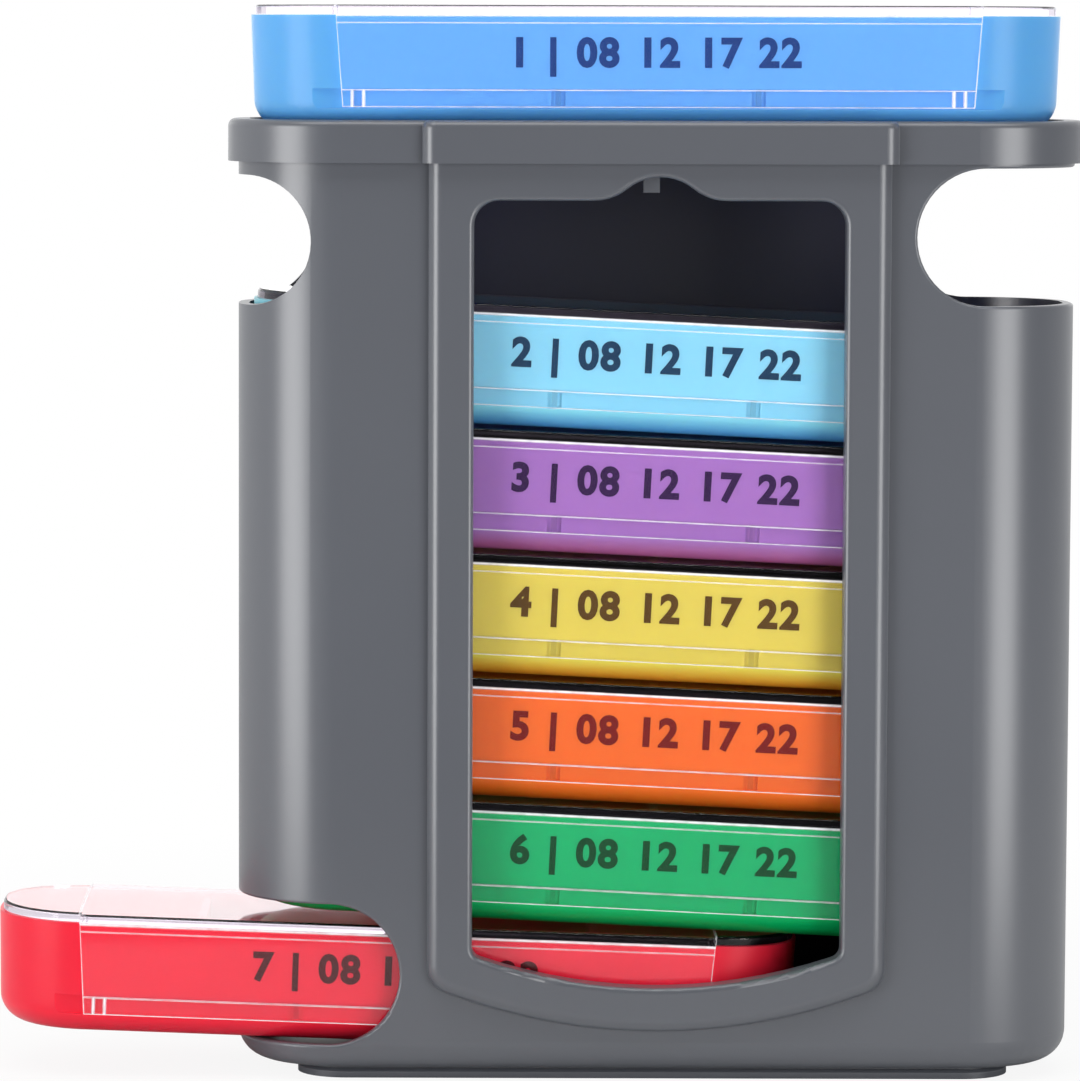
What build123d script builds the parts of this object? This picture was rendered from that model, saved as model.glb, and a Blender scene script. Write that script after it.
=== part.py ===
"""Weekly pill dispenser: seven day boxes with clear sliding lids in a moulded tower.

Frame: X to the right, Y away from the front, Z up, origin under the middle of the foot.
Lengths are millimetres. A day box has its own frame, with its origin under the middle of its floor.
"""
import os
from math import asin, degrees, sqrt

from build123d import *

os.makedirs("parts", exist_ok=True)

# Day box: one moulding with four compartments in a row
box_length = 115.0
box_depth = 28.0
box_height = 15.9
box_end_radius = 12.5
box_end_draft = 0.6
box_bottom_radius = 4.0
box_wall = 1.3
box_floor = 1.3
compartment_count = 4
divider_thickness = 1.2
divider_drop = 0.6
scoop_radius = 2.0

# Clear lid: a plate just over the box's rim, with a skirt down each long side
plate_thickness = 1.3
plate_gap = 0.1
plate_inset = 0.5
plate_edge_radius = 0.4
skirt_thickness = 1.0
skirt_end_inset = 12.2
skirt_end_lean = 1.0
skirt_foot_height = 3.0
lid_clearance = 0.2

# Rail along the foot of each skirt, which runs in a groove in the box
rail_height = 2.4
rail_reach = 0.5
groove_depth = 0.65
nub_width = 1.6
notch_depth = 0.4

# Tower: a shaft for the boxes, with a flange round its mouth
shaft_clearance = 0.3
shaft_end_clearance = 0.65
shaft_corner_clearance = 1.0
tower_wall = 1.5
tower_floor = 1.3
tower_height = 136.6
tower_bottom_radius = 4.3
flange_height = 6.0
flange_overhang = 1.5
flange_top_radius = 1.0

# Foot under the tower, with a dark seam above it
foot_end_inset = 8.65
foot_side_inset = 4.5
foot_radius = 7.0
foot_height = 1.7
foot_edge = 0.4
seam_height = 0.4
seam_inset = 0.7

# Raised panel on the front, and the window in it
panel_width = 65.0
panel_proud = 2.0
panel_edge_radius = 1.9
panel_bottom = 7.6
panel_arc_radius = 84.0
panel_corner_radius = 4.0
panel_frame = 6.4
flange_panel_extra = 0.9
window_top_drop = 11.2
window_top_radius = 3.5
window_bottom_radius = 1.7
window_edge_radius = 0.8
arch_width = 18.6
arch_rise = 3.3

# Small tab that hangs behind the arch
tab_width = 2.3
tab_height = 2.2
tab_thickness = 0.8
tab_offset = -1.2

# Finger notches and the outlet, all cut through the front and the back
left_notch_radius = 9.2
left_notch_drop = 17.1
left_notch_depth = 10.6
right_notch_radius = 9.7
right_notch_drop = 16.3
right_notch_depth = 23.5
outlet_bottom = 5.4
outlet_room = 2.9
outlet_depth = 23.3
cut_edge_radius = 0.4

# Places of the boxes
monday_sunk = 1.2
monday_shift = -0.3
monday_lean = 2.3
stack_tilt = 2.8
stack_gap = 0.39
stack_shift = -0.8
saturday_sunk = 0.65
sunday_tilt = 2.0
sunday_shift = -37.2
sunday_height = 4.95

# Worked out from the values above
plate_bottom = box_height + plate_gap
closed_height = plate_bottom + plate_thickness
skirt_length = box_length - 2 * skirt_end_inset
lid_depth = box_depth + 2 * (lid_clearance + skirt_thickness)
shaft_depth = lid_depth + 2 * shaft_clearance
shaft_length = box_length + 2 * shaft_end_clearance
shaft_radius = box_end_radius + shaft_corner_clearance
tower_length = shaft_length + 2 * tower_wall
tower_depth = shaft_depth + 2 * tower_wall
tower_radius = shaft_radius + tower_wall
foot_length = tower_length - 2 * foot_end_inset
foot_depth = tower_depth - 2 * foot_side_inset
floor_top = foot_height + tower_floor
flange_bottom = tower_height - flange_height
flange_panel_half = panel_width / 2 + flange_panel_extra
window_width = panel_width - 2 * panel_frame
window_bottom = panel_bottom + panel_frame
window_top = tower_height - window_top_drop
window_arc_radius = panel_arc_radius - panel_frame
left_notch_height = tower_height - left_notch_drop
right_notch_height = tower_height - right_notch_drop
outlet_top = outlet_bottom + closed_height + outlet_room
stack_pitch = closed_height + stack_gap
saturday_height = sunday_height + closed_height - saturday_sunk
pocket_length = box_length - 2 * box_wall
compartment_pitch = pocket_length / compartment_count
rim_depth = box_depth - 2 * (groove_depth + box_wall)
pocket_radius = box_end_radius - box_wall - groove_depth
pick = 0.01  # how near its place an edge or a corner has to be to be picked


def arc_rise(radius, half_width):
    """How far an arc has risen at half_width from its lowest point."""
    return radius - sqrt(radius**2 - half_width**2)


# ---------------------------------------------------------------- day box
# The hollows: one long pocket with drafted ends, parted by dividers, and scooped along its floor
with BuildPart() as pockets:
    with BuildSketch(Plane.XY.offset(box_floor)):
        RectangleRounded(pocket_length - 2 * box_end_draft, rim_depth, pocket_radius)
    with BuildSketch(Plane.XY.offset(box_height)):
        RectangleRounded(pocket_length, rim_depth, pocket_radius)
    loft(ruled=True)
    with BuildSketch(Plane.XY.offset(box_floor)):
        with GridLocations(compartment_pitch, 0, compartment_count - 1, 1):
            Rectangle(divider_thickness, rim_depth)
    extrude(amount=box_height - divider_drop - box_floor, mode=Mode.SUBTRACT)
    fillet(pockets.edges().group_by(Axis.Z)[0], scoop_radius)

with BuildPart() as box_body:
    with BuildSketch(Plane.XY):
        RectangleRounded(box_length - 2 * box_end_draft, box_depth, box_end_radius)
    with BuildSketch(Plane.XY.offset(box_height)):
        RectangleRounded(box_length, box_depth, box_end_radius)
    loft(ruled=True)
    fillet(box_body.edges().group_by(Axis.Z)[0], box_bottom_radius)
    add(pockets.part, mode=Mode.SUBTRACT)

    # Grooves for the lid's rails, with a notch for the nubs at each compartment
    groove_height = rail_height + 2 * lid_clearance
    for side in (-1, 1):
        groove_centre = (0, side * box_depth / 2, skirt_foot_height + rail_height / 2)
        with Locations(groove_centre):
            Box(box_length, 2 * groove_depth, groove_height, mode=Mode.SUBTRACT)
            with GridLocations(compartment_pitch, 0, compartment_count, 1):
                Box(nub_width + 2 * lid_clearance, 2 * (groove_depth + notch_depth), rail_height,
                    mode=Mode.SUBTRACT)

# ---------------------------------------------------------------- clear lid
with BuildPart() as box_lid:
    with BuildSketch(Plane.XY.offset(plate_bottom)):
        plate_length = box_length - 2 * plate_inset
        RectangleRounded(plate_length, box_depth - 2 * plate_inset, box_end_radius - plate_inset)
        Rectangle(skirt_length, lid_depth)
    extrude(amount=plate_thickness)
    fillet(box_lid.edges().group_by(Axis.Z)[-1], plate_edge_radius)
    skirt_top = plate_bottom + plate_thickness / 2
    lean_top = skirt_length / 2
    lean_foot = skirt_length / 2 - skirt_end_lean
    for side in (-1, 1):
        inner_face = side * (lid_depth / 2 - skirt_thickness)
        with BuildSketch(Plane.XZ.offset(-inner_face)):
            with BuildLine():
                Polyline((-lean_top, skirt_top), (lean_top, skirt_top), (lean_foot, skirt_foot_height),
                         (-lean_foot, skirt_foot_height), close=True)
            make_face()
        extrude(amount=-side * skirt_thickness)
        rail_middle = skirt_foot_height + rail_height / 2
        with Locations((0, inner_face - side * rail_reach / 2, rail_middle)):
            Box(2 * lean_foot, rail_reach, rail_height)
        with Locations((0, inner_face - side * groove_depth / 2, rail_middle)):
            with GridLocations((compartment_count - 1) * compartment_pitch, 0, 2, 1):
                Box(nub_width, groove_depth, rail_height)

# ---------------------------------------------------------------- tower
with BuildPart() as tower_housing:
    # Raised panel, with its front edge rounded down both sides and along the arc
    panel_half = panel_width / 2
    panel_corner = panel_bottom + arc_rise(panel_arc_radius, panel_half)
    with BuildSketch(Plane.XZ):
        with BuildLine():
            Line((-panel_half, flange_bottom), (-panel_half, panel_corner))
            ThreePointArc((-panel_half, panel_corner), (0, panel_bottom), (panel_half, panel_corner))
            Polyline((panel_half, panel_corner), (panel_half, flange_bottom), (-panel_half, flange_bottom))
        make_face()
        lower_corners = vertices().filter_by_position(Axis.Y, panel_corner - pick, panel_corner + pick)
        fillet(lower_corners, panel_corner_radius)
    extrude(amount=tower_depth / 2 + panel_proud)
    panel_front = tower_housing.faces().sort_by(Axis.Y)[0]
    panel_edges = panel_front.edges().filter_by_position(Axis.Z, panel_bottom - pick, flange_bottom - pick)
    fillet(panel_edges, panel_edge_radius)

    # Body, rounded along its lower edge
    with BuildSketch(Plane.XY.offset(foot_height)):
        RectangleRounded(tower_length, tower_depth, tower_radius)
    extrude(amount=tower_height - foot_height)
    fillet(tower_housing.edges().group_by(Axis.Z)[0], tower_bottom_radius)

    # Flange round the mouth, stepped out over the panel
    with BuildSketch(Plane.XY.offset(flange_bottom)):
        RectangleRounded(tower_length + 2 * flange_overhang, tower_depth + 2 * flange_overhang,
                         tower_radius + flange_overhang)
        with Locations((0, -(flange_overhang + panel_proud) / 2)):
            RectangleRounded(2 * flange_panel_half, tower_depth + flange_overhang + panel_proud,
                             panel_edge_radius)
    extrude(amount=flange_height)
    fillet(tower_housing.edges().group_by(Axis.Z)[-1], flange_top_radius)

    # Shaft
    with BuildSketch(Plane.XY.offset(floor_top)):
        RectangleRounded(shaft_length, shaft_depth, shaft_radius)
    extrude(amount=tower_height - floor_top, mode=Mode.SUBTRACT)

    # Window, with a small arch in its top edge
    half = window_width / 2
    corner = window_bottom + arc_rise(window_arc_radius, half)
    arch_radius = ((arch_width / 2) ** 2 + arch_rise**2) / (4 * arch_rise)
    arch_turn = degrees(asin(arch_width / 4 / arch_radius))
    with BuildSketch(Plane.XZ.offset(shaft_depth / 2 - shaft_clearance)):
        with BuildLine():
            ThreePointArc((-half, corner), (0, window_bottom), (half, corner))
            Polyline((half, corner), (half, window_top), (arch_width / 2, window_top))
            rise = JernArc((arch_width / 2, window_top), (-1, 0), arch_radius, -arch_turn)
            crown = JernArc(rise @ 1, rise % 1, arch_radius, 2 * arch_turn)
            JernArc(crown @ 1, crown % 1, arch_radius, -arch_turn)
            Polyline((-arch_width / 2, window_top), (-half, window_top), (-half, corner))
        make_face()
        fillet(vertices().filter_by_position(Axis.Y, corner - pick, corner + pick), window_bottom_radius)
        top_corners = vertices().filter_by_position(Axis.Y, window_top - pick, window_top + pick)
        fillet([v for v in top_corners if abs(v.X) > half - pick], window_top_radius)
    extrude(amount=tower_wall + panel_proud + 2 * shaft_clearance, mode=Mode.SUBTRACT)
    panel_face = tower_depth / 2 + panel_proud
    rim = tower_housing.edges().filter_by_position(Axis.Y, -panel_face - pick, -panel_face + pick)
    rim = rim.filter_by_position(Axis.X, -half - pick, half + pick)
    fillet(rim.filter_by_position(Axis.Z, window_bottom - pick, window_top + arch_rise + pick), window_edge_radius)
    with Locations((tab_offset, -(shaft_depth + tab_thickness) / 2, window_top + arch_rise)):
        Box(tab_width, tab_thickness, 2 * tab_height)

    # Finger notches and outlet
    half_length = tower_length / 2
    past_end = half_length + 2 * flange_overhang
    with BuildSketch(Plane.XZ):
        left_centre = -half_length + left_notch_depth - left_notch_radius
        with Locations((left_centre, left_notch_height)):
            Circle(left_notch_radius)
        with Locations(((left_centre - past_end) / 2, left_notch_height)):
            Rectangle(past_end + left_centre, 2 * left_notch_radius)
        right_centre = half_length - right_notch_depth + right_notch_radius
        with Locations((right_centre, right_notch_height)):
            Circle(right_notch_radius)
        with Locations(((right_centre + past_end) / 2, right_notch_height)):
            Rectangle(past_end - right_centre, 2 * right_notch_radius)
        outlet_radius = (outlet_top - outlet_bottom) / 2
        outlet_centre = -half_length + outlet_depth - outlet_radius
        with Locations((outlet_centre, outlet_bottom + outlet_radius)):
            Circle(outlet_radius)
        with Locations(((outlet_centre - past_end) / 2, outlet_bottom + outlet_radius)):
            Rectangle(past_end + outlet_centre, 2 * outlet_radius)
    extrude(amount=tower_depth, both=True, mode=Mode.SUBTRACT)

    # The arcs of the cuts are rounded over where they meet the front
    front_edges = tower_housing.edges().filter_by_position(Axis.Y, -tower_depth / 2 - pick, -tower_depth / 2 + pick)
    fillet([e for e in front_edges.filter_by(GeomType.CIRCLE) if abs(e.center().X) > flange_panel_half],
           cut_edge_radius)

# ---------------------------------------------------------------- foot
with BuildPart() as foot_plate:
    with BuildSketch(Plane.XY):
        RectangleRounded(foot_length, foot_depth, foot_radius)
    extrude(amount=foot_height - seam_height)
    chamfer(foot_plate.edges().group_by(Axis.Z)[-1], foot_edge)
    with BuildSketch(Plane.XY.offset(foot_height - seam_height)):
        RectangleRounded(foot_length - 2 * seam_inset, foot_depth - 2 * seam_inset, foot_radius - seam_inset)
    extrude(amount=seam_height)

# ---------------------------------------------------------------- places and files
places = {"monday": Location((monday_shift, -monday_lean, tower_height - monday_sunk))}
for level, day in enumerate(("saturday", "friday", "thursday", "wednesday", "tuesday")):
    places[day] = Location((stack_shift, 0, saturday_height + level * stack_pitch), (0, stack_tilt, 0))
places["sunday"] = Location((sunday_shift, 0, sunday_height), (0, sunday_tilt, 0))

for day, place in places.items():
    with BuildPart() as day_box:
        with Locations(place):
            add(box_body.part)
    day_box.part.label = f"{day}_box"
    export_step(day_box.part, f"parts/{day}_box.step")
    with BuildPart() as day_lid:
        with Locations(place):
            add(box_lid.part)
    day_lid.part.label = f"{day}_lid"
    export_step(day_lid.part, f"parts/{day}_lid.step")

tower_housing.part.label = "tower_housing"
export_step(tower_housing.part, "parts/tower_housing.step")
foot_plate.part.label = "foot_plate"
export_step(foot_plate.part, "parts/foot_plate.step")
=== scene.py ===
# %% [markdown]
# # Weekly pill dispenser
# A grey moulded tower holds seven coloured boxes with clear sliding lids, one box for each day. The solids
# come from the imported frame. This notebook gives them their plastics, prints plain numerals on the boxes, and
# sets up the camera, the floor and the lights.

# %% Load the frame
from math import atan, degrees, pi, radians

import bpy
import numpy as np
from mathutils import Matrix, Vector


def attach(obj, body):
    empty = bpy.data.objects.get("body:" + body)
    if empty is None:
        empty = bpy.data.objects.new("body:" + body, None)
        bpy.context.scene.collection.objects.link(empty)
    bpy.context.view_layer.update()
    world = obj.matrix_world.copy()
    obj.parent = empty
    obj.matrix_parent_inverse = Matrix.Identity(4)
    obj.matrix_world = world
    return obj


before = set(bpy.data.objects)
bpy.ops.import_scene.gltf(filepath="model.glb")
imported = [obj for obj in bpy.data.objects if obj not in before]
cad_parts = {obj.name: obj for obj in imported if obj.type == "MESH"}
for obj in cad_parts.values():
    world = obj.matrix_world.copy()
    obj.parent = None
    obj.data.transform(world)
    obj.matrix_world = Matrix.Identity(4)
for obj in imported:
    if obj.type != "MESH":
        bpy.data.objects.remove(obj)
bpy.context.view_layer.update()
MM = 0.001
DAYS = ["monday", "tuesday", "wednesday", "thursday", "friday", "saturday", "sunday"]
print("nodes:", sorted(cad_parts))

# %% [markdown]
# ## Camera
# The photograph is taken with a long lens from about the height of the topmost lid, a few degrees down, and a
# little left of the middle. The lens and the distance were read from how much the tower's two sides draw
# together towards its foot, and the sideways shift from how the raised panel sits between the tower's ends.

# %% Camera
PHOTO_WIDTH = 1080
PHOTO_HEIGHT = 1081
FOCAL_PIXELS = 5788
SENSOR_WIDTH = 36
CAMERA_DISTANCE = 830 * MM
CAMERA_HEIGHT = 148.2 * MM
HORIZON_PIXEL = 37
TOWER_MIDDLE_PIXEL = 654.5
SIDE_SHIFT = 0.10
CAMERA_ROLL = radians(0.15)

camera_data = bpy.data.cameras.new("camera")
camera_data.sensor_fit = "HORIZONTAL"
camera_data.sensor_width = SENSOR_WIDTH
camera_data.lens = FOCAL_PIXELS * SENSOR_WIDTH / PHOTO_WIDTH
camera_data.shift_x = SIDE_SHIFT
camera = bpy.data.objects.new("camera", camera_data)
bpy.context.scene.collection.objects.link(camera)
straight_ahead_pixel = PHOTO_WIDTH * (0.5 - SIDE_SHIFT)
camera_side = (straight_ahead_pixel - TOWER_MIDDLE_PIXEL) * CAMERA_DISTANCE / FOCAL_PIXELS
camera_pitch = atan((PHOTO_HEIGHT / 2 - HORIZON_PIXEL) / FOCAL_PIXELS)
camera.location = (camera_side, -CAMERA_DISTANCE, CAMERA_HEIGHT)
look_down = Matrix.Rotation(pi / 2 - camera_pitch, 4, "X")
camera.rotation_euler = (look_down @ Matrix.Rotation(CAMERA_ROLL, 4, "Z")).to_euler()
bpy.context.scene.camera = camera
print("camera side mm", round(camera_side / MM, 1), "pitch deg", round(degrees(camera_pitch), 2))

# %% [markdown]
# ## Colours and nodes
# Colours are written as sRGB hex values, the way a paint chart gives them, and one function turns them to the
# linear numbers that a shader works with. One more function adds a node, whatever its kind: each input gets a
# plain value, or a link from another node's output.


# %% Colours
def linear(hex_colour):
    """Each sRGB channel c becomes c / 12.92 when dark, and ((c + 0.055) / 1.055) to the power 2.4 if not."""
    srgb = np.array([int(hex_colour[i:i + 2], 16) / 255 for i in (1, 3, 5)])
    value = np.where(srgb <= 0.04045, srgb / 12.92, ((srgb + 0.055) / 1.055) ** 2.4)
    return (*value.tolist(), 1.0)


print("mid grey in linear numbers:", linear("#808080"))

# %% Nodes
MATH = "ShaderNodeMath"
# a Mix node has its inputs once for each kind of data, under the same names, so they go by number
SHARE, FIRST_COLOUR, SECOND_COLOUR, BLEND = 0, 6, 7, 2


def add_node(tree, kind, inputs=(), **settings):
    """Adds a node and sets its properties, then fills its inputs, which go by their order in a list, or by
    name or number in a dict."""
    node = tree.nodes.new(kind)
    for name, value in settings.items():
        setattr(node, name, value)
    for name, value in (inputs.items() if isinstance(inputs, dict) else enumerate(inputs)):
        if isinstance(value, bpy.types.NodeSocket):
            tree.links.new(value, node.inputs[name])
        else:
            node.inputs[name].default_value = value
    return node


def new_material(name):
    """An empty material with its tree, its output node and its Object coordinates in metres."""
    material = bpy.data.materials.new(name)
    material.use_nodes = True
    tree = material.node_tree
    tree.nodes.clear()
    output = add_node(tree, "ShaderNodeOutputMaterial")
    place = add_node(tree, "ShaderNodeTexCoord").outputs["Object"]
    return material, tree, output, place


def dress(node_name, material):
    """Gives a carried-over solid one material in every slot."""
    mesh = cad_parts[node_name].data
    mesh.materials.clear()
    mesh.materials.append(material)


# %% [markdown]
# ## Tower: satin grey polypropylene
# The tower is injection moulded. Its skin is smooth but not polished, so each highlight spreads into a soft
# upright band on the rounded ends. Hardly any light gets into the shaft, and in the photograph it looks almost
# black through the window. The shaft is one moulding with the tower, of the same plastic, so a formula finds
# its
# walls and gives them a painted shade: a darker grey than the outside.

# %% Walls of the shaft
SHAFT_HALF_LENGTH = 58.15 * MM
SHAFT_HALF_DEPTH = 15.5 * MM
SHAFT_RADIUS = 13.5 * MM
SHAFT_FLOOR = 3.0 * MM
SKIN = 0.1 * MM


def inside_shaft(tree, place):
    """1 on the walls of the shaft and 0 outside. The shaft is all that lies within its corner radius of a
    smaller rectangle, so the test is sqrt(max(|x| - a, 0)^2 + max(|y| - b, 0)^2) < radius."""
    x, y, z = add_node(tree, "ShaderNodeSeparateXYZ", [place]).outputs
    squares = 0.0
    for across, half in ((x, SHAFT_HALF_LENGTH), (y, SHAFT_HALF_DEPTH)):
        size = add_node(tree, MATH, [across], operation="ABSOLUTE").outputs[0]
        past = add_node(tree, MATH, [size, half - SHAFT_RADIUS], operation="SUBTRACT").outputs[0]
        past = add_node(tree, MATH, [past, 0.0], operation="MAXIMUM").outputs[0]
        squares = add_node(tree, MATH, [past, past, squares], operation="MULTIPLY_ADD").outputs[0]
    distance = add_node(tree, MATH, [squares], operation="SQRT").outputs[0]
    inside = add_node(tree, MATH, [distance, SHAFT_RADIUS + SKIN], operation="LESS_THAN").outputs[0]
    over_floor = add_node(tree, MATH, [z, SHAFT_FLOOR], operation="GREATER_THAN").outputs[0]
    return add_node(tree, MATH, [inside, over_floor], operation="MULTIPLY").outputs[0]


# %% [markdown]
# Moulded plastic is never quite even. Its colour drifts where the melt flowed, and its skin carries the grain
# of the mould. Both are noise whose size is a real length, so neither needs a picture. A pixel of the render is
# about 0.14 mm wide, too wide for a grain as fine as a mould's, so the grain is drawn about half a millimetre
# wide, and very shallow.

# %% Tower plastic
TOWER_GREYS = ("#575A61", "#5B5E65")
# painted shade: the darker grey of the shaft's walls, where hardly any light reaches
SHAFT_PAINTED_SHADE = "#15152B"
TOWER_FLOW = 30 * MM
TOWER_GRAIN = 0.45 * MM
GRAIN_HEIGHT = 0.05 * MM


def moulded_grey():
    material, tree, output, place = new_material("moulded_polypropylene_grey")
    flow = add_node(tree, "ShaderNodeTexNoise", {"Scale": 1 / TOWER_FLOW, "Detail": 2.0, "Vector": place})
    first, second = map(linear, TOWER_GREYS)
    drift = add_node(tree, "ShaderNodeMix", {
        SHARE: flow.outputs["Fac"], FIRST_COLOUR: first, SECOND_COLOUR: second}, data_type="RGBA")
    # the shaft's walls get the painted shade
    shaded = add_node(tree, "ShaderNodeMix", {
        SHARE: inside_shaft(tree, place), FIRST_COLOUR: drift.outputs[BLEND],
        SECOND_COLOUR: linear(SHAFT_PAINTED_SHADE)}, data_type="RGBA")
    grain = add_node(tree, "ShaderNodeTexNoise", {"Scale": 1 / TOWER_GRAIN, "Detail": 3.0, "Vector": place})
    bump = add_node(tree, "ShaderNodeBump", {
        "Strength": 0.06, "Distance": GRAIN_HEIGHT, "Height": grain.outputs["Fac"]})
    plastic = add_node(tree, "ShaderNodeBsdfPrincipled", {
        "Base Color": shaded.outputs[BLEND], "Roughness": 0.32, "IOR": 1.49, "Specular IOR Level": 1.0,
        "Normal": bump.outputs["Normal"]})
    tree.links.new(plastic.outputs["BSDF"], output.inputs["Surface"])
    return material


tower_plastic = moulded_grey()
for name in ("tower_housing", "foot_plate"):
    dress(name, tower_plastic)
print("tower and foot dressed in", tower_plastic.name)

# %% [markdown]
# ## Where each box lies
# The blue box leans on the front rim of the tower's mouth, the red one is drawn out of the outlet, and the five
# between them are stacked at one slope. The patterns and the numerals of a box follow it when they are worked
# out in its own frame, whose origin is under the middle of its floor and whose x runs along it.

# %% Places of the boxes: millimetres to the right, to the back and up, then the tilt in degrees
STACK_SHIFT = -0.8
STACK_FOOT = 21.6
STACK_PITCH = 17.69
STACK_TILT = 2.8
BOX_PLACES = {"monday": (-0.3, -2.3, 135.4, 0.0), "sunday": (-37.2, 0.0, 4.95, 2.0)}
for level, day in enumerate(("saturday", "friday", "thursday", "wednesday", "tuesday")):
    BOX_PLACES[day] = (STACK_SHIFT, 0.0, STACK_FOOT + STACK_PITCH * level, STACK_TILT)


def in_box_frame(tree, place, day):
    """x, y and z in the box's own frame."""
    shift, lean, height, tilt = BOX_PLACES[day]
    turn = add_node(tree, "ShaderNodeMapping", {
        "Vector": place, "Location": (shift * MM, lean * MM, height * MM),
        "Rotation": (0, radians(tilt), 0)}, vector_type="TEXTURE")
    return add_node(tree, "ShaderNodeSeparateXYZ", [turn.outputs["Vector"]]).outputs


print("box places:", BOX_PLACES)

# %% [markdown]
# ## Day boxes: coloured polypropylene
# Each box is moulded in one bright colour. The plastic is slightly milky, so light goes a millimetre or two
# into it and softens the edges. A plain opaque colour would look painted, so the boxes have subsurface
# scattering under a soft gloss. Along the bottom edge a deeper colour is painted in, as painted shade under the
# box and painted reflected light from the box below it. In the groove on each side of the middle a notch shows
# as a short dark stroke through the lid's clear rail, and the shade in the notch is painted in as a darker
# colour.

# %% Notches in the groove
NOTCH_PLACE = 14.05 * MM
NOTCH_HALF_WIDTH = 0.4 * MM
# painted shade in the notches: how much darker their colour is made
NOTCH_PAINTED_SHADE = 0.22
GROOVE_FOOT = 3.2 * MM
GROOVE_TOP = 5.6 * MM


def in_notch(tree, x, z):
    """1 in the two upright notches of the groove beside the middle of the box, at |x| = NOTCH_PLACE."""
    along = add_node(tree, MATH, [x], operation="ABSOLUTE").outputs[0]
    from_notch = add_node(tree, MATH, [along, NOTCH_PLACE], operation="SUBTRACT").outputs[0]
    beside = add_node(tree, MATH, [from_notch], operation="ABSOLUTE").outputs[0]
    near = add_node(tree, MATH, [beside, NOTCH_HALF_WIDTH], operation="LESS_THAN").outputs[0]
    over_foot = add_node(tree, MATH, [z, GROOVE_FOOT], operation="GREATER_THAN").outputs[0]
    under_top = add_node(tree, MATH, [z, GROOVE_TOP], operation="LESS_THAN").outputs[0]
    in_groove = add_node(tree, MATH, [over_foot, under_top], operation="MULTIPLY").outputs[0]
    return add_node(tree, MATH, [near, in_groove], operation="MULTIPLY").outputs[0]


# %% Box plastics
BOX_COLOURS = {
    "monday": "#5FA9E4", "tuesday": "#84D2E2", "wednesday": "#9C70B4", "thursday": "#D4CB52",
    "friday": "#EA6F1E", "saturday": "#00B86A", "sunday": "#F0243E",
}
# painted shade and painted reflected light: the deeper colour along the bottom edge of each box
PAINTED_UNDERSIDE_COLOURS = {
    "monday": "#4F9CE6", "tuesday": "#46A0DC", "wednesday": "#B8609E", "thursday": "#E09A20",
    "friday": "#D05A10", "saturday": "#009A48", "sunday": "#C41430",
}
PAINTED_UNDERSIDE_HEIGHT = 2.8 * MM
BOX_FLOW = 18 * MM
BOX_GRAIN = 0.6 * MM
LIGHT_REACH = 2.5 * MM


def coloured_box_plastic(day):
    material, tree, output, place = new_material(f"milky_polypropylene_{day}")
    x, _, z = in_box_frame(tree, place, day)
    # the painted shade and reflected light are strongest at the underside and gone a few millimetres up
    painted_underside_share = add_node(tree, "ShaderNodeMapRange", {
        "Value": z, "From Max": PAINTED_UNDERSIDE_HEIGHT, "To Min": 1.0, "To Max": 0.0})
    tint = add_node(tree, "ShaderNodeMix", {
        SHARE: painted_underside_share.outputs["Result"], FIRST_COLOUR: linear(BOX_COLOURS[day]),
        SECOND_COLOUR: linear(PAINTED_UNDERSIDE_COLOURS[day])}, data_type="RGBA")
    flow = add_node(tree, "ShaderNodeTexNoise", {"Scale": 1 / BOX_FLOW, "Detail": 2.0, "Vector": place})
    drift = add_node(tree, "ShaderNodeMapRange", {
        "Value": flow.outputs["Fac"], "To Min": 0.96, "To Max": 1.04})
    # the notches get their painted shade
    darker = add_node(tree, MATH, [in_notch(tree, x, z), NOTCH_PAINTED_SHADE], operation="MULTIPLY")
    level = add_node(tree, MATH, [drift.outputs["Result"], darker.outputs[0]], operation="SUBTRACT")
    shade = add_node(tree, "ShaderNodeHueSaturation", {
        "Color": tint.outputs[BLEND], "Value": level.outputs[0]})
    grain = add_node(tree, "ShaderNodeTexNoise", {"Scale": 1 / BOX_GRAIN, "Detail": 2.0, "Vector": place})
    bump = add_node(tree, "ShaderNodeBump", {
        "Strength": 0.04, "Distance": GRAIN_HEIGHT, "Height": grain.outputs["Fac"]})
    plastic = add_node(tree, "ShaderNodeBsdfPrincipled", {
        "Base Color": shade.outputs["Color"], "Roughness": 0.32, "IOR": 1.49, "Specular IOR Level": 0.3,
        "Subsurface Weight": 0.5, "Subsurface Scale": LIGHT_REACH, "Subsurface Radius": (1.0, 0.8, 0.6),
        "Normal": bump.outputs["Normal"]})
    tree.links.new(plastic.outputs["BSDF"], output.inputs["Surface"])
    return material


for day in DAYS:
    dress(f"{day}_box", coloured_box_plastic(day))
print("boxes dressed:", BOX_COLOURS)

# %% [markdown]
# ## Painted glints on the lids' edges
# Where two faces of a clear moulding meet, the edge is a little rounded, and it gathers and sends back light
# from inside the plate. So the edges of the skirt, of the rail at its foot and of the two nubs show as thin
# white lines of light. They are too thin to be worth a rounding in the solid, so the lid's material paints them
# in as white lines: painted highlights. In the box's frame z is the height above the box's underside, and a
# line shows where the distance to its edge is less than its width.

# %% Painted edge glints
BOX_HEIGHT = 15.9 * MM
SKIRT_FOOT = 3.0 * MM
RAIL_TOP = 5.4 * MM
SKIRT_INNER_TOP = 14.8 * MM
SKIRT_INSIDE = 14.1 * MM
SKIRT_HALF_LENGTH = 45.3 * MM
SKIRT_END_LEAN = 1.0 * MM
SKIRT_END_LINE, SKIRT_END_WHITE = 0.16 * MM, 0.8
NUB_PLACE = 42.15 * MM
NUB_HALF_WIDTH = 0.8 * MM
NUB_LINE, NUB_WHITE = 0.3 * MM, 1.0
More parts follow.
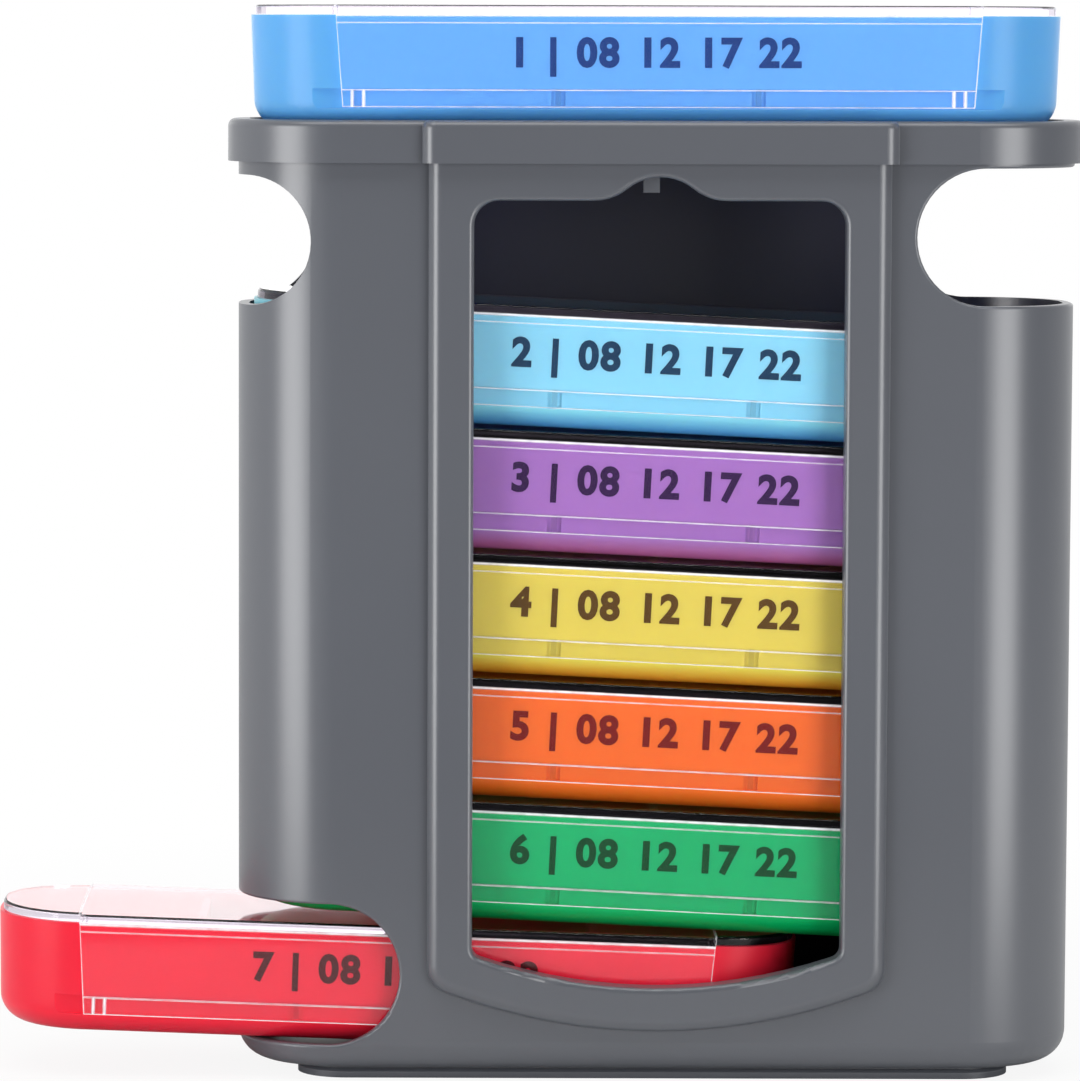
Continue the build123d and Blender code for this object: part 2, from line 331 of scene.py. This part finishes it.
# height of each long edge, half the width of its painted glint line, and how white that glint is
LONG_EDGES = [
    (SKIRT_FOOT, 0.20 * MM, 1.0), (RAIL_TOP, 0.13 * MM, 0.75), (SKIRT_INNER_TOP, 0.12 * MM, 0.55),
    (BOX_HEIGHT, 0.26 * MM, 1.0),
]


def glint_line_at(tree, distance, half_width, white):
    """The painted glint: white on the edge and 0 from half_width on: white * (1 - min(|distance| / half_width,
    1)).
    """
    away = add_node(tree, MATH, [distance], operation="ABSOLUTE").outputs[0]
    return add_node(tree, "ShaderNodeMapRange", {
        "Value": away, "From Max": half_width, "To Min": white, "To Max": 0.0}).outputs["Result"]


def long_edge_glints(tree, y, z):
    """The whitest of the long edges' painted glint lines, on the skirts alone, where |y| > SKIRT_INSIDE."""
    whitest = 0.0
    for height, half_width, white in LONG_EDGES:
        above = add_node(tree, MATH, [z, height], operation="SUBTRACT").outputs[0]
        line = glint_line_at(tree, above, half_width, white)
        whitest = add_node(tree, MATH, [whitest, line], operation="MAXIMUM").outputs[0]
    beside = add_node(tree, MATH, [y], operation="ABSOLUTE").outputs[0]
    on_skirt = add_node(tree, MATH, [beside, SKIRT_INSIDE], operation="GREATER_THAN").outputs[0]
    return add_node(tree, MATH, [whitest, on_skirt], operation="MULTIPLY").outputs[0]


def skirt_end_glint(tree, along, z):
    """The painted glint line where |x| = SKIRT_HALF_LENGTH + slope * (z - BOX_HEIGHT): the ends draw in towards
    the foot.
    """
    slope = SKIRT_END_LEAN / (BOX_HEIGHT - SKIRT_FOOT)
    at_underside = SKIRT_HALF_LENGTH - slope * BOX_HEIGHT
    end = add_node(tree, MATH, [z, slope, at_underside], operation="MULTIPLY_ADD").outputs[0]
    from_end = add_node(tree, MATH, [along, end], operation="SUBTRACT").outputs[0]
    return glint_line_at(tree, from_end, SKIRT_END_LINE, SKIRT_END_WHITE)


def nub_glints(tree, along, z):
    """The painted glint lines where |x| is NUB_HALF_WIDTH to either side of NUB_PLACE, under the top of the
    rail.
    """
    from_middle = add_node(tree, MATH, [along, NUB_PLACE], operation="SUBTRACT").outputs[0]
    beside = add_node(tree, MATH, [from_middle], operation="ABSOLUTE").outputs[0]
    from_side = add_node(tree, MATH, [beside, NUB_HALF_WIDTH], operation="SUBTRACT").outputs[0]
    line = glint_line_at(tree, from_side, NUB_LINE, NUB_WHITE)
    on_rail = add_node(tree, MATH, [z, RAIL_TOP], operation="LESS_THAN").outputs[0]
    return add_node(tree, MATH, [line, on_rail], operation="MULTIPLY").outputs[0]


def painted_edge_glints(tree, place, day):
    """How white the painted glints make each place: the whitest of all the lines."""
    x, y, z = in_box_frame(tree, place, day)
    along = add_node(tree, MATH, [x], operation="ABSOLUTE").outputs[0]
    edges, end = long_edge_glints(tree, y, z), skirt_end_glint(tree, along, z)
    skirt = add_node(tree, MATH, [edges, end], operation="MAXIMUM").outputs[0]
    return add_node(tree, MATH, [skirt, nub_glints(tree, along, z)], operation="MAXIMUM").outputs[0]


print("long edges at heights mm:", [round(height / MM, 1) for height, _, _ in LONG_EDGES])

# %% [markdown]
# ## Lids: clear polystyrene
# The lids are clear and hard, with polished faces and a faint haze. Light traced through them in full would
# leave the box behind dark and noisy, so a shadow ray goes straight through, as most of the light does through
# a thin clear plate. Polystyrene's own IOR is near 1.59, and 1.4 was matched to the faint reflections in the
# photograph. Seen end-on the plate is thick, and a slight grey-violet absorption shows there.

# %% Lid plastic
CLEAR_TINT = "#FBF6FB"
# painted highlight: the white of the glint lines along the lids' edges
GLINT_WHITE = "#FBFBFE"
SHADOW_TINT = "#F6F1F7"
SMOKE_COLOUR = (0.78, 0.72, 0.84, 1.0)
SMOKE_PER_METRE = 22.0
HAZE_SIZE = 6 * MM
SPECK_SIZE = 2.5 * MM


def clear_polystyrene(day):
    material, tree, output, place = new_material(f"clear_polystyrene_{day}")
    haze = add_node(tree, "ShaderNodeTexNoise", {"Scale": 1 / HAZE_SIZE, "Detail": 4.0, "Vector": place})
    rough = add_node(tree, "ShaderNodeMapRange", {
        "Value": haze.outputs["Fac"], "To Min": 0.02, "To Max": 0.07})
    clear = add_node(tree, "ShaderNodeBsdfPrincipled", {
        "Base Color": linear(CLEAR_TINT), "Transmission Weight": 1.0, "IOR": 1.4,
        "Roughness": rough.outputs["Result"]})
    # a white matt film painted along the edges stands in for their glints of light
    painted_glint = add_node(tree, "ShaderNodeBsdfPrincipled", {
        "Base Color": linear(GLINT_WHITE), "Roughness": 0.25})
    speck = add_node(tree, "ShaderNodeTexNoise", {"Scale": 1 / SPECK_SIZE, "Detail": 2.0, "Vector": place})
    broken = add_node(tree, "ShaderNodeMapRange", {
        "Value": speck.outputs["Fac"], "From Min": 0.3, "From Max": 0.6, "To Min": 0.6}).outputs["Result"]
    # where the painted glints lie
    lines = painted_edge_glints(tree, place, day)
    white = add_node(tree, MATH, [lines, broken], operation="MULTIPLY").outputs[0]
    body = add_node(tree, "ShaderNodeMixShader", [white, clear.outputs["BSDF"], painted_glint.outputs["BSDF"]])
    passing = add_node(tree, "ShaderNodeBsdfTransparent", {"Color": linear(SHADOW_TINT)})
    path = add_node(tree, "ShaderNodeLightPath").outputs
    lid = add_node(tree, "ShaderNodeMixShader", [
        path["Is Shadow Ray"], body.outputs["Shader"], passing.outputs["BSDF"]])
    tree.links.new(lid.outputs["Shader"], output.inputs["Surface"])
    smoke = add_node(tree, "ShaderNodeVolumeAbsorption", {"Color": SMOKE_COLOUR, "Density": SMOKE_PER_METRE})
    tree.links.new(smoke.outputs["Volume"], output.inputs["Volume"])
    return material


for day in DAYS:
    dress(f"{day}_lid", clear_polystyrene(day))
print("lids dressed:", len(DAYS))

# %% [markdown]
# ## Numerals
# A line is printed on the front of each box, behind the clear skirt: the number of the day, a bar, and an hour
# for each of the four compartments. It is plain pad printing, so each glyph is a flat film that lies a hair in
# front of the plastic. Blender's own text makes the outline, which is turned into a mesh and laid on the box.
# The ink lets some of the box's colour through, so each line is a deep shade of its box's own colour, and it is
# matt.

# %% Ink
INK_COLOURS = {
    "monday": "#123A76", "tuesday": "#083650", "wednesday": "#2A0C3F", "thursday": "#523A04",
    "friday": "#701008", "saturday": "#004A22", "sunday": "#4C060C",
}
INK_PATCH = 1.2 * MM


def ink(day):
    material, tree, output, place = new_material(f"pad_print_{day}")
    patch = add_node(tree, "ShaderNodeTexNoise", {"Scale": 1 / INK_PATCH, "Detail": 2.0, "Vector": place})
    level = add_node(tree, "ShaderNodeMapRange", {
        "Value": patch.outputs["Fac"], "To Min": 0.9, "To Max": 1.1})
    shade = add_node(tree, "ShaderNodeHueSaturation", {
        "Color": linear(INK_COLOURS[day]), "Value": level.outputs["Result"]})
    film = add_node(tree, "ShaderNodeBsdfPrincipled", {
        "Base Color": shade.outputs["Color"], "Roughness": 0.6, "Specular IOR Level": 0.1})
    tree.links.new(film.outputs["BSDF"], output.inputs["Surface"])
    return material


# %% A printed line
HOURS = "08 12 17 22"
NUMERAL_HEIGHT = 3.9 * MM
# in the text's own units, where the size of the text is 1
DIGIT_HEIGHT = 0.70
STROKE_GROWTH = 0.04
GLYPH_SPACING = 1.12
WORD_SPACING = 1.25
CURVE_STEPS = 4


def printed_line(day, words):
    """A flat mesh of the words in the XY plane, with its digits NUMERAL_HEIGHT tall, centred on X = 0."""
    curve = bpy.data.curves.new(f"{day}_text", "FONT")
    curve.body = words
    curve.size = 1.0
    curve.offset = STROKE_GROWTH
    curve.space_character = GLYPH_SPACING
    curve.space_word = WORD_SPACING
    curve.resolution_u = CURVE_STEPS
    source = bpy.data.objects.new(f"{day}_text", curve)
    bpy.context.scene.collection.objects.link(source)
    bpy.context.view_layer.update()
    mesh = bpy.data.meshes.new_from_object(source)
    bpy.data.objects.remove(source)
    points = np.empty(len(mesh.vertices) * 3)
    mesh.vertices.foreach_get("co", points)
    points = points.reshape(-1, 3)
    low, high = points.min(axis=0), points.max(axis=0)
    scale = NUMERAL_HEIGHT / DIGIT_HEIGHT
    points[:, 0] = (points[:, 0] - (low[0] + high[0]) / 2) * scale
    points[:, 1] = points[:, 1] * scale
    mesh.vertices.foreach_set("co", points.ravel())
    mesh.name = f"{day}_numerals"
    return mesh


# %% Numerals on the boxes
NUMERAL_BASE = 8.8 * MM
BOX_FRONT = 14.0 * MM
FILM_GAP = 0.03 * MM


def lay_on_box(mesh, day):
    """Stands the line up, moves it onto the front of the box, then puts it where the box is."""
    shift, lean, height, tilt = BOX_PLACES[day]
    upright = Matrix.Rotation(pi / 2, 4, "X")
    rise = Matrix.Translation((0, -(BOX_FRONT + FILM_GAP), NUMERAL_BASE))
    turn = Matrix.Rotation(radians(tilt), 4, "Y")
    mesh.transform(Matrix.Translation(Vector((shift, lean, height)) * MM) @ turn @ rise @ upright)


for number, day in enumerate(DAYS, start=1):
    line = printed_line(day, f"{number} | {HOURS}")
    lay_on_box(line, day)
    piece = bpy.data.objects.new(f"{day}_numerals", line)
    bpy.context.scene.collection.objects.link(piece)
    piece.data.materials.append(ink(day))
    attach(piece, f"{day}_box")
print("numerals laid on", len(DAYS), "boxes")

# %% [markdown]
# ## White floor
# The object stands on a plain white floor in a white surround. White could come from strong lamps, but these
# would wash out the plastics. So the camera sees the floor and the surround as plain white, also straight
# through the clear lids, while plainer light falls on the object. Near the object the floor keeps a tenth of
# its real look, so that the shadow shows. It ends a short way in front of the tower, because the upright skirts
# would mirror a longer one as a white veil.

# %% What counts as seen
MIRRORED_SHARE = 0.5


def seen_straight(tree):
    """1 where the camera sees this surface, or sees it straight through the clear lids, and MIRRORED_SHARE
    where the ray was also mirrored inside a lid on its way. Rays that a matt surface scattered don't count."""
    path = add_node(tree, "ShaderNodeLightPath").outputs
    unscattered = add_node(tree, "ShaderNodeMapRange", {
        "Value": path["Diffuse Depth"], "To Min": 1.0, "To Max": 0.0}).outputs["Result"]
    loss = add_node(tree, "ShaderNodeMapRange", {
        "Value": path["Glossy Depth"], "To Max": 1.0 - MIRRORED_SHARE}).outputs["Result"]
    kept = add_node(tree, MATH, [unscattered, loss], operation="SUBTRACT").outputs[0]
    through = add_node(tree, MATH, [path["Is Transmission Ray"], kept], operation="MULTIPLY").outputs[0]
    return add_node(tree, MATH, [path["Is Camera Ray"], through], operation="MAXIMUM").outputs[0]


# %% Floor
FLOOR_WHITE = "#F4F4F4"
FLOOR_SIDE = 0.6
FLOOR_FRONT = -0.14
FLOOR_BACK = 0.6
SHADOW_REACH = 0.25
SHADOW_FRONT = 0.05
SHADOW_SHARE = 0.10


def white_floor():
    """The shadow is kept in full to half of SHADOW_REACH from the origin. It fades out at SHADOW_REACH, and
    over the last SHADOW_FRONT before the floor's front edge."""
    material, tree, output, place = new_material("white_sweep")
    _, y, _ = add_node(tree, "ShaderNodeSeparateXYZ", [place]).outputs
    away = add_node(tree, "ShaderNodeVectorMath", [place], operation="LENGTH").outputs["Value"]
    round_about = add_node(tree, "ShaderNodeMapRange", {
        "Value": away, "From Min": SHADOW_REACH, "From Max": SHADOW_REACH / 2}).outputs["Result"]
    from_edge = add_node(tree, "ShaderNodeMapRange", {
        "Value": y, "From Min": FLOOR_FRONT, "From Max": FLOOR_FRONT + SHADOW_FRONT}).outputs["Result"]
    shadow = add_node(tree, MATH, [round_about, from_edge], operation="MINIMUM").outputs[0]
    white = add_node(tree, MATH, [shadow, -SHADOW_SHARE, 1.0], operation="MULTIPLY_ADD").outputs[0]
    glowing = add_node(tree, MATH, [seen_straight(tree), white], operation="MULTIPLY").outputs[0]
    matte = add_node(tree, "ShaderNodeBsdfDiffuse", {"Color": linear(FLOOR_WHITE)})
    glow = add_node(tree, "ShaderNodeEmission", {"Color": (1, 1, 1, 1), "Strength": 1.0})
    sweep = add_node(tree, "ShaderNodeMixShader", [glowing, matte.outputs["BSDF"], glow.outputs["Emission"]])
    tree.links.new(sweep.outputs["Shader"], output.inputs["Surface"])
    return material


corners = [(-FLOOR_SIDE, FLOOR_FRONT, 0), (FLOOR_SIDE, FLOOR_FRONT, 0), (FLOOR_SIDE, FLOOR_BACK, 0),
           (-FLOOR_SIDE, FLOOR_BACK, 0)]
floor_mesh = bpy.data.meshes.new("floor")
floor_mesh.from_pydata(corners, [], [(0, 1, 2, 3)])
floor = bpy.data.objects.new("floor", floor_mesh)
bpy.context.scene.collection.objects.link(floor)
floor.data.materials.append(white_floor())
print("floor corners:", corners)

# %% [markdown]
# ## World
# The room is bright behind and to the left of the tower, and dim in front, where the camera stands. So the
# tower's far ends catch light, and the flat fronts of the clear skirts mirror next to nothing. One direction
# and two levels are enough for plain studio light.

# %% World
FRONT_LEVEL = 0.14
BACK_LEVEL = 0.85
LEVEL_SPREAD = 0.6
BRIGHT_SIDE = (-0.34, 0.94, 0.0)

world = bpy.data.worlds.new("white_room")
bpy.context.scene.world = world
world.use_nodes = True
tree = world.node_tree
tree.nodes.clear()
direction = add_node(tree, "ShaderNodeTexCoord").outputs["Generated"]
facing = add_node(tree, "ShaderNodeVectorMath", [direction, BRIGHT_SIDE], operation="DOT_PRODUCT")
level = add_node(tree, "ShaderNodeMapRange", {
    "Value": facing.outputs["Value"], "From Min": -LEVEL_SPREAD, "From Max": LEVEL_SPREAD,
    "To Min": FRONT_LEVEL, "To Max": BACK_LEVEL})
surround = add_node(tree, "ShaderNodeBackground", {
    "Color": (1, 1, 1, 1), "Strength": level.outputs["Result"]})
bright = add_node(tree, "ShaderNodeBackground", {"Color": (1, 1, 1, 1), "Strength": 1.0})
room = add_node(tree, "ShaderNodeMixShader", [
    seen_straight(tree), surround.outputs["Background"], bright.outputs["Background"]])
world_output = add_node(tree, "ShaderNodeOutputWorld")
tree.links.new(room.outputs["Shader"], world_output.inputs["Surface"])
print("world levels:", FRONT_LEVEL, "to", BACK_LEVEL)

# %% [markdown]
# ## Lamps
# Two upright soft lamps at the sides draw the bright bands down the rounded ends of the tower. A long low one
# behind whitens the tops of the clear lids, and one overhead fills the rest. They are rectangles, because a
# lamp's own shape is what a glossy surface mirrors.

# %% Lamps
LAMP_TARGET = Vector((0, 0, 75 * MM))


def soft_light(name, place, size, power):
    """A rectangular lamp that faces the middle of the tower. Its radiance is power / (pi * area)."""
    data = bpy.data.lights.new(name, "AREA")
    data.shape = "RECTANGLE"
    data.size, data.size_y = size
    data.energy = power
    lamp = bpy.data.objects.new(name, data)
    lamp.location = place
    lamp.rotation_euler = (LAMP_TARGET - Vector(place)).to_track_quat("-Z", "Y").to_euler()
    bpy.context.scene.collection.objects.link(lamp)
    print(name, "radiance", round(power / (pi * size[0] * size[1]), 2))


soft_light("left_bank", place=(-0.78, -0.53, 0.02), size=(0.50, 0.70), power=5.7)
soft_light("right_bank", place=(0.60, -0.72, 0.02), size=(0.46, 0.70), power=4.9)
soft_light("overhead", place=(0.0, -0.24, 0.70), size=(0.90, 0.36), power=2.6)
soft_light("back_rim", place=(0.0, 1.30, 0.28), size=(1.80, 0.36), power=1.3)

# %% Finish
bpy.context.scene.view_settings.view_transform = "Standard"
